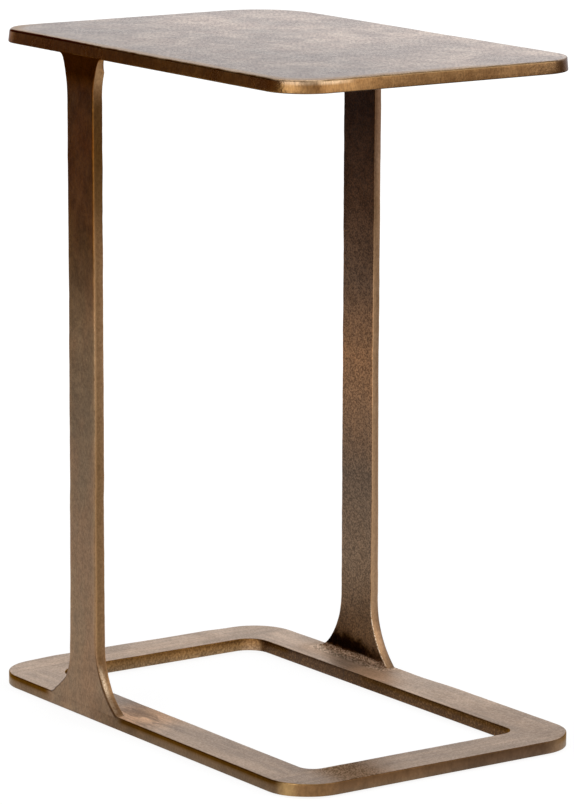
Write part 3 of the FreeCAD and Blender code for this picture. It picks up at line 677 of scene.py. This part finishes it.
def leg_side_rows(leg, turn):
    """Spread, height and normal of each row of points on one narrow side of a leg."""
    foot = flare_samples(*leg["feet"][turn], *FOOT_STEPS)
    head = flare_samples(*leg["heads"][turn], *HEAD_STEPS)
    foot_reach = leg["feet"][turn][0] - LET_IN_SHRINK
    head_reach = leg["heads"][turn][0] - LET_IN_SHRINK
    rows = [(foot_reach, z, 1, 0) for z in (SEAT_FLOOR, BASE_FACE - BASE_UPPER_ROUND)]
    rows += [(spread, BASE_FACE + rise, nx, nz) for spread, rise, nx, nz in foot]
    low = rows[-1][1]
    high = TOP_FACE - head[-1][1]
    rows += [(0, low + (high - low) * step / SHANK_STEPS, 1, 0) for step in range(1, SHANK_STEPS)]
    rows += [(spread, TOP_FACE - drop, nx, -nz) for spread, drop, nx, nz in reversed(head)]
    return rows + [(head_reach, z, 1, 0) for z in (TOP_FACE + TOP_LOWER_ROUND + 0.2, HEAD_END)]


def leg_corner_path():
    """Inset, depth and facing of the points from a leg's outer face round to its inner face."""
    flat = LEG_THICKNESS - OUTER_ROUND - INNER_ROUND
    path = [(OUTER_ROUND * (1 - rise), OUTER_ROUND * (1 - ahead), ahead, rise)
            for ahead, rise in quarter(ROUND_STEPS)]
    path += [(0, OUTER_ROUND + flat * step / NARROW_STEPS, 0, 1) for step in range(1, NARROW_STEPS)]
    return path + [(INNER_ROUND * (1 - ahead), LEG_THICKNESS - INNER_ROUND * (1 - rise), -rise, ahead)
                   for ahead, rise in quarter(ROUND_STEPS)]


def dent(x, y, z, seed, inner):
    """How far the hand-finished surface lies under the ideal one."""
    free = between(z, BASE_FACE + 1, BASE_FACE + 12) * between(z, TOP_FACE - 1, TOP_FACE - 10)
    return free * skin(x, y, z, seed, INNER_SKIN if inner else OUTER_SKIN)


def sunk(z):
    """How far a leg's outer face lies inside a plate's edge, so that only one of them shows."""
    if z > TOP_FACE + TOP_LOWER_ROUND + 0.1:
        return HEAD_SUNK
    return SUNK if z < BASE_FACE - BASE_UPPER_ROUND - 0.2 else 0


def leg_side_point(leg, turn, row, inset, depth, outward, sideways):
    """One point on a narrow side of a leg, dents and wavy edge included."""
    spread, z, nx, nz = row
    seed = leg["seed"] + 2 * turn
    free = between(z, BASE_FACE + 8, BASE_FACE + 70) * between(z, TOP_FACE - 8, TOP_FACE - 50)
    slow, quick = wave(0, 0, z, 75, seed), wave(0, 0, z, 19, seed + 4)
    sway = 0.55 * (slow - 0.5) + 0.22 * (quick - 0.5)
    low = dent(turn * 25, depth, z, seed, outward < 0)
    inset = inset + low * abs(sideways)
    draft = at_height(leg["drafts"][turn], z) * depth / LEG_THICKNESS
    depth = depth + low * outward + sunk(z) * (outward > 0)
    plain = leg["halves"][turn] + at_height(leg["swells"][turn], z)
    half = plain + free * sway + draft + spread - inset * nx
    return (LEG_PLACE + turn * half, leg["side"] * (TABLE_EDGE - depth), z - inset * nz)


def face_points(leg, start, end, outward):
    """The points across a leg's broad face between two corner points."""
    points = []
    for share in FACE_SHARES:
        x, y, z = [a + (b - a) * share for a, b in zip(start, end)]
        flat = LEG_THICKNESS if outward < 0 else 0
        low = dent(x, flat, z, leg["seed"] + 3, outward < 0)
        rim = min(1, 5 * min(share, 1 - share))
        depth = flat + outward * low + sunk(z) * (outward > 0)
        plain = TABLE_EDGE - abs(y)
        points.append((x, leg["side"] * (TABLE_EDGE - plain - (depth - plain) * rim), z))
    return points


def write_attribute(mesh, name, values):
    """One number for each vertex, which the material reads by its name."""
    layer = mesh.attributes.new(name, "FLOAT", "POINT")
    layer.data.foreach_set("value", values)


def solid_mesh(rings, endless=False):
    """A closed mesh from rings of points, flat at both ends or endless."""
    count = len(rings[0])
    points = [tuple(MM * value for value in point) for ring in rings for point in ring]
    pairs = [(number, number + 1) for number in range(len(rings) - 1)]
    faces = []
    if endless:
        pairs.append((len(rings) - 1, 0))
    else:
        faces = [tuple(reversed(range(count))), tuple(range(len(points) - count, len(points)))]
    for low, high in pairs:
        for step in range(count):
            after = (step + 1) % count
            first, second = low * count, high * count
            faces.append((first + step, first + after, second + after, second + step))
    mesh = bpy.data.meshes.new("casting")
    mesh.from_pydata(points, [], faces)
    turn_outwards(mesh)
    return mesh


def turn_outwards(mesh):
    """Makes the face directions agree and point out of the solid."""
    shell = bmesh.new()
    shell.from_mesh(mesh)
    bmesh.ops.recalc_face_normals(shell, faces=shell.faces)
    shell.to_mesh(mesh)
    shell.free()
    mesh.polygons.foreach_set("use_smooth", [True] * len(mesh.polygons))
    mesh.update()


def ring_shares(path, level, corner_share, face_weight):
    """One number for each point of a ring, by a rule for the corners and a weight for the outer face."""
    low, high = [[corner_share(turn, level, *spot[1:3]) for spot in path] for turn in (-1, 1)]
    plain = [0] * len(FACE_SHARES)
    outer = [face_weight * face_edge_highlight(level, min(share, 1 - share)) for share in FACE_SHARES]
    return high + plain + low[::-1] + outer


def edge_highlight_corner(turn, level, depth, outward):
    """How much painted highlight a corner point gets, most where the edge rounds meet the faces."""
    if outward > 0:
        free = between(level, BASE_FACE + 35, BASE_FACE + 75)
        return free * between(level, 570, 440) * (2 * outward ** 2 - 1) ** 2
    return 0.9 * between(level, 450, 350) if outward < 0 else 0


def face_edge_highlight(level, margin):
    """How much painted highlight the outer face gets, by the margin from its edge as a share."""
    free = between(level, BASE_FACE + 35, BASE_FACE + 75) * between(level, 560, 440)
    return free * max(0, 1 - margin / 0.14)


def round_reflection_corner(turn, level, depth, outward):
    """Painted dark reflection in the outer edge round low on the foot."""
    return between(level, BASE_FACE + 62, BASE_FACE + 25) if outward > 0.05 else 0


def front_painted_glint(turn, level, depth, outward):
    """The hollow of the front foot's flare gets a painted highlight."""
    hollow = between(level, BASE_FACE + 42, BASE_FACE + 32) * between(level, BASE_FACE, BASE_FACE + 3)
    crest = 0.45 + 0.55 * between(level, BASE_FACE + 13, BASE_FACE + 22)
    return 0.62 * hollow * crest * (outward < 0.3) * between(depth, 6, 2.5) if turn > 0 else 0


def rear_painted_glint(turn, level, depth, outward):
    """The inner edge of the rear foot gets painted glints in points."""
    low = between(level, BASE_FACE + 62, BASE_FACE + 40)
    return low * (outward < -0.45) if turn > 0 else 0


def dark_foot_share(leg, x, y, z):
    """How dark a point of the foot's inner face is made, most just above the base, fading out at a wavy
    upper edge.
    """
    inside = between(TABLE_EDGE - abs(y), LEG_THICKNESS - 1, LEG_THICKNESS - 0.3)
    across = x - LEG_PLACE
    roof = 31.5 - 9 * between(across, -5, 38) + 5 * (wave(x, 0, 0, 11, leg["seed"]) - 0.5)
    toe = 1 - 0.5 * between(across, 14, 46) - 0.35 * between(across, -44, -60)
    foot = 0.25 + 0.75 * between(z, BASE_FACE + 2, BASE_FACE + 7.5)
    return inside * toe * foot * between(z, roof + 13, roof - 10)


def leg_mesh(leg, glint_corner):
    """A hand-finished cast leg, flared at both ends, with a slightly uneven skin."""
    path = leg_corner_path()
    low_side, high_side = leg_side_rows(leg, -1), leg_side_rows(leg, 1)
    rings = []
    for low_row, high_row in zip(low_side, high_side):
        high = [leg_side_point(leg, 1, high_row, *spot) for spot in path]
        low = [leg_side_point(leg, -1, low_row, *spot) for spot in reversed(path)]
        ring = high + face_points(leg, high[-1], low[0], -1) + low
        rings.append(ring + face_points(leg, low[-1], high[0], 1))
    mesh = solid_mesh(rings)
    rules = (("worn", edge_highlight_corner, 0.45), ("groove", round_reflection_corner, 0), ("gleam", glint_corner, 0))
    for attribute, *rule in rules:
        shares = [ring_shares(path, row[1], *rule) for row in high_side]
        write_attribute(mesh, attribute, [share for ring in shares for share in ring])
    write_attribute(mesh, "dark_foot", [dark_foot_share(leg, *point) for ring in rings for point in ring])
    return mesh


# welds: steps across and round a bead, and how far it runs into its leg and plate

BEAD_STEPS = 120
BEAD_BENDS = 11
BEAD_ROOT = 0.1
BEAD_INTO_LEG = 0.6
BEAD_INTO_PLATE = 0.4
FOOT_BEAD = 4
HEAD_BEAD = 5


def outline_height(leg, turn, spread):
    """How high above the base a foot's flare stands at a distance from the shank."""
    samples = [sample[:2] for sample in flare_samples(*leg["feet"][turn], *FOOT_STEPS)]
    for (wide, low), (narrow, high) in zip(samples, samples[1:]):
        if spread >= narrow:
            share = min(1, max(0, (wide - spread) / max(wide - narrow, 0.001)))
            return low + (high - low) * share
    return samples[-1][1]


def bead_rings(leg, plate, sense, left, right, size, roof_at):
    """The rough weld in the corner between a leg's inner face and a plate."""
    seed = leg["seed"] + 40
    inner_y = TABLE_EDGE - LEG_THICKNESS
    rings = []
    for number in range(BEAD_STEPS + 1):
        across = -left + (left + right) * number / BEAD_STEPS
        ends = between(min(across + left, right - across), 0, 6)
        rise = min(size * (0.75 + 0.5 * wave(across, 0, 0, 9, seed)), roof_at(across))
        reach = size * (0.22 + 0.36 * wave(across, 0, 0, 8, seed + 7)) * (0.25 + 0.75 * ends)
        ring = []
        for ahead, bend in quarter(BEAD_BENDS):
            inward, up = reach * (1 - bend), rise * (1 - ahead) - BEAD_ROOT
            rough = skin(across, inward, up, seed, BEAD_LUMPS) - 0.75
            swell = 0.07 * size * rough * 2 * ahead * bend * (0.3 + 0.7 * ends)
            ring.append((inward + swell, up + swell))
        ring += [(-BEAD_INTO_LEG, rise - BEAD_ROOT), (-BEAD_INTO_LEG, -BEAD_INTO_PLATE)]
        ring.append((reach, -BEAD_INTO_PLATE))
        rings.append([(LEG_PLACE + across, leg["side"] * (inner_y - inward), plate + sense * up)
                      for inward, up in ring])
    return rings


def foot_bead(leg):
    """The weld inside a foot, which stays below the flare."""
    def roof(across):
        turn = 1 if across > 0 else -1
        spread = abs(across) - leg["halves"][turn]
        return 0.75 * outline_height(leg, turn, spread) + 0.2 if spread > 0 else 99

    left = leg["halves"][-1] + leg["feet"][-1][0] - 6
    right = leg["halves"][1] + leg["feet"][1][0] - 3
    return solid_mesh(bead_rings(leg, BASE_FACE, 1, left, right, FOOT_BEAD, roof))


def head_bead(leg):
    """The weld inside a head, under the top."""
    left = leg["halves"][-1] + 6
    right = leg["halves"][1] - 1
    return solid_mesh(bead_rings(leg, TOP_FACE, -1, left, right, HEAD_BEAD, lambda across: HEAD_BEAD))


# plates: outline and opening as half length, half depth and corner radii from the near open corner on,
# size of the upper round along the far edges, lean of the near rims, lift of the far edges, tuck of the
# underside at the open end

BASE_PLATE = {
    "outline": (246.5, 155, (42.5, 39.5, 40.5, 42.5)), "inside": (203.2, 111.7, (14, 14, 20, 24)),
    "low": 1.15, "high": 12.9, "lower": 0.9, "upper": BASE_UPPER_ROUND,
    "far": 0.8, "lean": 0, "lift": 1.1, "tuck": 0.5, "seed": 31,
}
TOP_PLATE = {
    "outline": (235.5, 155, (38, 42.5, 60, 36)), "inside": (110, 29.5, (12, 12, 12, 12)),
    "low": TOP_FACE, "high": 610, "lower": TOP_LOWER_ROUND, "upper": 2.2,
    "far": 0.35, "lean": 1.4, "lift": 0, "tuck": 0, "seed": 47,
}
INSIDE_ROUND = 1.2
WALL_LEVELS = (8.5, 5.5)
SMALL_ROUND_STEPS = 3
UPPER_ROUND_STEPS = 7
CORNER_STEPS = 16
LONG_STEPS = 120
SHORT_STEPS = 76
TOP_FACE_SHARES = (0.02, 0.05, 0.09, 0.14, 0.2, 0.27, 0.34, 0.42, 0.5, 0.58, 0.66, 0.74, 0.82, 0.91, 1)
TOP_UNDER_SHARES = (1, 0.6, 0.3, 0.1)
BASE_FACE_SHARES = (0.04, 0.12, 0.22, 0.34, 0.46, 0.58, 0.7, 0.81, 0.9, 0.96)
THIRDS = (0.33, 0.67)
BORDER_SHARE = 0.1


def rounded_loop(half_x, half_y, corners, inset):
    """Points and outward directions round a rectangle with round corners, moved inwards."""
    arcs = []
    start = -pi / 2
    for corner, (sx, sy) in zip(corners, ((1, -1), (1, 1), (-1, 1), (-1, -1))):
        x, y = sx * (half_x - corner), sy * (half_y - corner)
        arc = hollow_arc(x, y, corner - inset, start, start + pi / 2, CORNER_STEPS)
        arcs.append([(x, y, -nx, -ny) for x, y, nx, ny in arc])
        start += pi / 2
    loop = []
    for arc, after, count in zip(arcs, arcs[1:] + arcs[:1], (SHORT_STEPS, LONG_STEPS) * 2):
        x, y, nx, ny = arc[-1]
        next_x, next_y = after[0][:2]
        loop += arc
        for step in range(1, count):
            share = step / count
            loop.append((x + (next_x - x) * share, y + (next_y - y) * share, nx, ny))
    return loop


def rim_path(plate):
    """Inset, height and facing (outwards, upwards) up the outer rim of a plate."""
    lower, upper = plate["lower"], plate["upper"]
    low = plate["low"] + lower
    high = plate["high"] - upper
    path = [(lower * (1 - rise), plate["low"] + lower * (1 - ahead), rise, -ahead)
            for ahead, rise in quarter(SMALL_ROUND_STEPS)]
    path += [(0, low + (high - low) * share, 1, 0) for share in THIRDS]
    return path + [(upper * (1 - ahead), high + upper * rise, ahead, rise)
                   for ahead, rise in quarter(UPPER_ROUND_STEPS)]


def wall_path(plate):
    """The same down the walls of the opening, with the inset measured away from it."""
    size = INSIDE_ROUND
    path = [(size * (1 - rise), plate["high"] - size * (1 - ahead), rise, ahead)
            for ahead, rise in quarter(SMALL_ROUND_STEPS)]
    path += [(0, level, 1, 0) for level in WALL_LEVELS]
    return path + [(size * (1 - ahead), plate["low"] + size * (1 - rise), ahead, -rise)
                   for ahead, rise in quarter(SMALL_ROUND_STEPS)]


def plate_dent(plate, x, y):
    """How far a plate's skin lies under the ideal one, 0 where the legs join it."""
    at_leg = between(abs(x - LEG_PLACE), 90, 66) * between(abs(y), 125, 140)
    return (1 - at_leg) * skin(x, y, 0, plate["seed"], PLATE_SKIN)


def plate_sway(plate, x, y):
    """How far the outline runs inside the ideal one, 0 where the legs join it."""
    at_leg = between(abs(x - LEG_PLACE), 110, 66) * between(abs(y), 125, 140)
    return (1 - at_leg) * 0.2 * wave(x, y, 0, 95, plate["seed"] + 11)


def far_lift(plate, x, y):
    """How much higher the casting stands along its far edges."""
    back = between(-x, 204, 238) * between(y, -122, -82) * between(y, 112, 80)
    back *= 1 - 0.3 * between(y, -20, 40)
    side = between(y, 112, 148) * between(x, 0, 65) * between(x, 252, 234)
    return plate["lift"] * (back + side)


def outer_ring(plate, inset, z, out, up):
    """One loop of the outer rim, at an inset and a height of its path."""
    ring = []
    height = (z - plate["low"]) / (plate["high"] - plate["low"])
    for x, y, nx, ny in rounded_loop(*plate["outline"], 0):
        low = plate_dent(plate, x, y)
        size = 1 - (1 - plate["far"]) * between(ny - nx, -0.4, 0.6) if up > 0 else 1
        lean = plate["lean"] * (1 - between(ny - nx, -0.1, 1)) * height
        raised = far_lift(plate, x, y) * height + plate["tuck"] * between(nx, 0.3, 0.9) * (1 - height)
        side = plate_sway(plate, x, y) + low * out + size * inset + lean
        level = plate["high"] - size * (plate["high"] - z) if up > 0 else z
        ring.append((x - nx * side, y - ny * side, level + raised - low * up * (up > 0)))
    return ring


def inner_ring(plate, inset, z, out, up):
    """One loop of the opening's walls."""
    ring = []
    for x, y, nx, ny in rounded_loop(*plate["inside"], -inset):
        low = plate_dent(plate, x, y)
        side = 0.6 * low * out
        ring.append((x + nx * side, y + ny * side, z - low * up * (up > 0)))
    return ring


def across_ring(plate, start, end, share, up):
    """One loop of a broad face, a share of the way from one ring to another."""
    ring = []
    for first, last in zip(start, end):
        x, y = first[0] + (last[0] - first[0]) * share, first[1] + (last[1] - first[1]) * share
        level = plate["high"] + far_lift(plate, x, y) if up > 0 else plate["low"]
        ring.append((x, y, level - plate_dent(plate, x, y) * (up > 0)))
    return ring


def top_plate_mesh():
    """The top: a rim of soft rounds and two broad faces that close in the middle."""
    plate = TOP_PLATE
    rim = [outer_ring(plate, *spot) for spot in rim_path(plate)]
    middle = [(*spot[:2], 0) for spot in rounded_loop(*plate["inside"], 0)]
    under = [across_ring(plate, rim[0], middle, share, -1) for share in TOP_UNDER_SHARES]
    upper = [across_ring(plate, rim[-1], middle, share, 1) for share in TOP_FACE_SHARES]
    mesh = solid_mesh(under + rim + upper)
    levels = [0] * len(under) + [0.5] * len(rim)
    levels += [max(0, 1 - share / BORDER_SHARE) for share in TOP_FACE_SHARES]
    write_attribute(mesh, "border", [level for level in levels for point in middle])
    return mesh


def base_ring_mesh():
    """The base: one endless ring, rounded over outside and softened round its opening."""
    plate = BASE_PLATE
    rim = [outer_ring(plate, *spot) for spot in rim_path(plate)]
    walls = [inner_ring(plate, *spot) for spot in wall_path(plate)]
    upper = [across_ring(plate, rim[-1], walls[0], share, 1) for share in BASE_FACE_SHARES]
    under = [across_ring(plate, walls[-1], rim[0], share, -1) for share in THIRDS]
    return solid_mesh(rim + upper + walls + under, endless=True)


def put(name, data):
    """A new object in the scene."""
    thing = bpy.data.objects.new(name, data)
    bpy.context.scene.collection.objects.link(thing)
    return thing


def add_piece(name, meshes, material, node):
    """One shown piece from closed meshes, in the place of a CAD node."""
    whole = meshes[0]
    if len(meshes) > 1:
        joined = bmesh.new()
        for mesh in meshes:
            joined.from_mesh(mesh)
        joined.to_mesh(whole)
        joined.free()
        whole.polygons.foreach_set("use_smooth", [True] * len(whole.polygons))
    whole.name = name
    whole.materials.append(material)
    piece = put(name, whole)
    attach(piece, "root")
    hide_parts(node)


def make_plates():
    add_piece("top_plate_cast", [top_plate_mesh()], top_material(), "table_top")
    add_piece("base_ring_cast", [base_ring_mesh()], base_material(), "base_frame")


def make_leg(end, leg, looks, glint_corner):
    material = leg_material(end + "_leg_casting", -leg["side"], *looks)
    add_piece(end + "_leg_cast", [leg_mesh(leg, glint_corner)], material, end + "_leg")


def make_welds():
    weld = weld_material()
    for end, bead in (("foot", foot_bead), ("head", head_bead)):
        meshes = [bead(leg) for leg in (FRONT_LEG, REAR_LEG)]
        add_piece(end + "_weld_beads", meshes, weld, end + "_welds")


# studio

def seen_by_camera_or_gloss(tree):
    """1 for rays from the camera, and 1 for reflected and refracted rays."""
    path = add(tree, "ShaderNodeLightPath")
    sharp = Field(path, "Is Glossy Ray").at_least(Field(path, "Is Transmission Ray"))
    return Field(path, "Is Camera Ray"), sharp


def toward(x, y, turn, least):
    """1 straight towards a turn about the upright axis, 0 at right angles to it."""
    return (x * cos(turn) + y * sin(turn)) / (x * x + y * y).root().at_least(least)


def studio_glow(direction):
    """What metal reflects: white paper behind, a dim warm room elsewhere."""
    x, y, z = direction.axes()
    least = 0.001
    paper = toward(x, y, BACKDROP_TURN, least).step(0.45, 0.8) * z.step(0.7, 0.4)
    colour = toward(x, y, OPEN_SIDE_TURN, least).step(0.3, 0.95).mix(WARM_DARK, SIDE_GLOW)
    colour = z.step(0.45, 0.8).mix(colour, CEILING)
    return paper.mix(colour, WHITE)


def make_world():
    """White for the camera, even grey for soft light, the studio for reflections."""
    world = bpy.data.worlds.new("studio")
    world.cycles.sampling_method = "NONE"
    bpy.context.scene.world = world
    tree = clean_tree(world)
    camera, sharp = seen_by_camera_or_gloss(tree)
    direction = Field(add(tree, "ShaderNodeTexCoord"), "Generated")
    colour = camera.mix(sharp.mix(SOFT_GREY, studio_glow(direction)), WHITE)
    background = add(tree, "ShaderNodeBackground", {"Color": colour, "Strength": 1})
    add(tree, "ShaderNodeOutputWorld", {"Surface": Field(background)})


def floor_material():
    """White paper that keeps a soft shadow and ends in a dim room for reflections."""
    material = bpy.data.materials.new("paper_floor")
    tree = clean_tree(material)
    material.cycles.emission_sampling = "NONE"
    camera, sharp = seen_by_camera_or_gloss(tree)
    x, y, _ = Field(add(tree, "ShaderNodeTexCoord"), "Object").axes()
    reach = (x * x + y * y).root()
    least = 0.01
    room = toward(x, y, OPEN_SIDE_TURN, least).step(0.3, 0.95).mix(WARM_DARK, SIDE_GLOW)
    gone = reach.step(0.5, 2.7) * toward(x, y, BACKDROP_TURN, least).step(0.85, 0.5)
    reflected = add(tree, "ShaderNodeEmission", {"Color": gone.mix(FLOOR_GLOW, room)})
    paper = add(tree, "ShaderNodeBsdfDiffuse", {"Color": FLOOR_GREY})
    pale = add(tree, "ShaderNodeBsdfDiffuse", {"Color": SEEN_GREY})
    white = add(tree, "ShaderNodeEmission", {"Color": reach.step(0.6, 1.6).mix(SEEN_PAPER, WHITE)})
    seen = add(tree, "ShaderNodeAddShader", {0: Field(pale), 1: Field(white)})
    unseen = add(tree, "ShaderNodeMixShader", {0: sharp, 1: Field(paper), 2: Field(reflected)})
    whole = add(tree, "ShaderNodeMixShader", {0: camera, 1: Field(unseen), 2: Field(seen)})
    add(tree, "ShaderNodeOutputMaterial", {"Surface": Field(whole)})
    return material


def make_floor():
    """A wide level floor under the table."""
    half = 12
    mesh = bpy.data.meshes.new("floor")
    mesh.from_pydata([(-half, -half, 0), (half, -half, 0), (half, half, 0), (-half, half, 0)],
                     [], [(0, 1, 2, 3)])
    mesh.materials.append(floor_material())
    put("floor", mesh)


# soft boxes: name, turn in degrees, distance, height, width and height of the box, watts
LAMPS = (
    ("softbox_left", -65, 2.6, 1.1, 2, 2.1, 30),
    ("softbox_front", -28, 2.6, 0.75, 1, 1.5, 3.5),
    ("softbox_right", 19, 1.7, 0.95, 0.95, 1.9, 6.4),
    ("softbox_flares", 48, 1.8, 1.25, 0.9, 1.1, 5),
    ("softbox_above", 145, 0.6, 2.6, 2, 2, 14),
)
LAMP_TARGET = (0, 0, 0.35)


def make_lamp(name, degrees, distance, height, width, tall, power):
    """A soft box that stands round the table and shines on its middle."""
    lamp = bpy.data.lights.new(name, "AREA")
    lamp.shape = "RECTANGLE"
    lamp.size = width
    lamp.size_y = tall
    lamp.energy = power
    turn = radians(degrees)
    place = (distance * cos(turn), distance * sin(turn), height)
    aim = (Vector(LAMP_TARGET) - Vector(place)).to_track_quat("-Z", "Y").to_matrix().to_4x4()
    put(name, lamp).matrix_world = Matrix.Translation(place) @ aim


def make_camera():
    """The photograph's view."""
    data = bpy.data.cameras.new("camera")
    data.lens = LENS
    data.sensor_width = SENSOR
    data.clip_end = CAMERA_REACH
    camera = put("camera", data)
    place = Matrix.Translation(CAMERA_PLACE)
    for angle, axis in ((CAMERA_YAW - pi / 2, "Z"), (pi / 2 - CAMERA_PITCH, "X"), (CAMERA_ROLL, "Z")):
        place = place @ Matrix.Rotation(angle, 4, axis)
    camera.matrix_world = place
    bpy.context.scene.camera = camera


bpy.context.scene.view_settings.view_transform = "Standard"
make_camera()
make_world()
make_floor()
for lamp in LAMPS:
    make_lamp(*lamp)
dress("floor_pads", felt_material())
make_plates()
make_leg("front", FRONT_LEG, FRONT_LOOKS, front_painted_glint)
make_leg("rear", REAR_LEG, REAR_LOOKS, rear_painted_glint)
make_welds()
